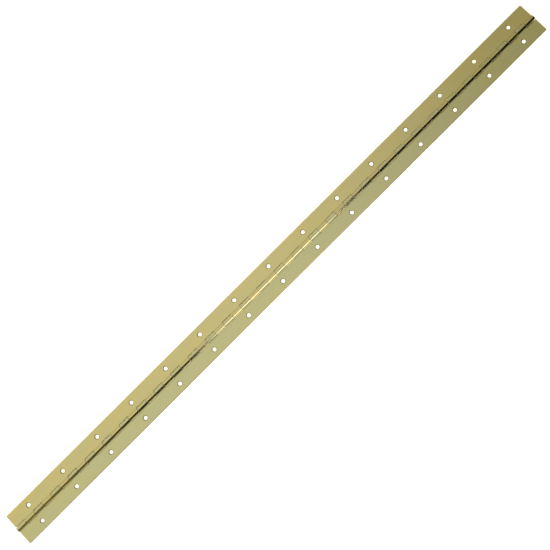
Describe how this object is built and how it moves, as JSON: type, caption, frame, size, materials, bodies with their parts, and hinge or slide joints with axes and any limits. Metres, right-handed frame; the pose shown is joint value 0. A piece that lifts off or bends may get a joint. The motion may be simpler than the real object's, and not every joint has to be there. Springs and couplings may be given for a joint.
{
  "type": "piano hinge",
  "caption": "Long continuous hinge: two narrow brass sheet leaves with interleaved rolled knuckles on one full-length pin, each with a row of countersunk screw holes.",
  "frame": {"origin": "middle of the hinge on its flat back plane, with the leaves open flat and level", "axes": "+X along the pin; +Y across to the free edge of the frame leaf, with the door leaf on -Y; +Z out of the faces that carry the barrel. The leaf with a knuckle at the -X end is the door leaf."},
  "size_m": [0.762, 0.0382, 0.0045],
  "materials": {
    "brass_leaf": "bright rolled brass, lightly lacquered",
    "steel_pin": "drawn hard wire"
  },
  "bodies": {
    "frame_leaf": {"frame_leaf": "brass_leaf", "hinge_pin": "steel_pin"},
    "door_leaf": {"door_leaf": "brass_leaf"}
  },
  "joints": [
    {"name": "leaf_swing", "type": "hinge", "parent": "frame_leaf", "child": "door_leaf", "pos_m": [0, 0, 0.00225], "axis": [-1, 0, 0], "range_deg": [-115, 187]}
  ]
}
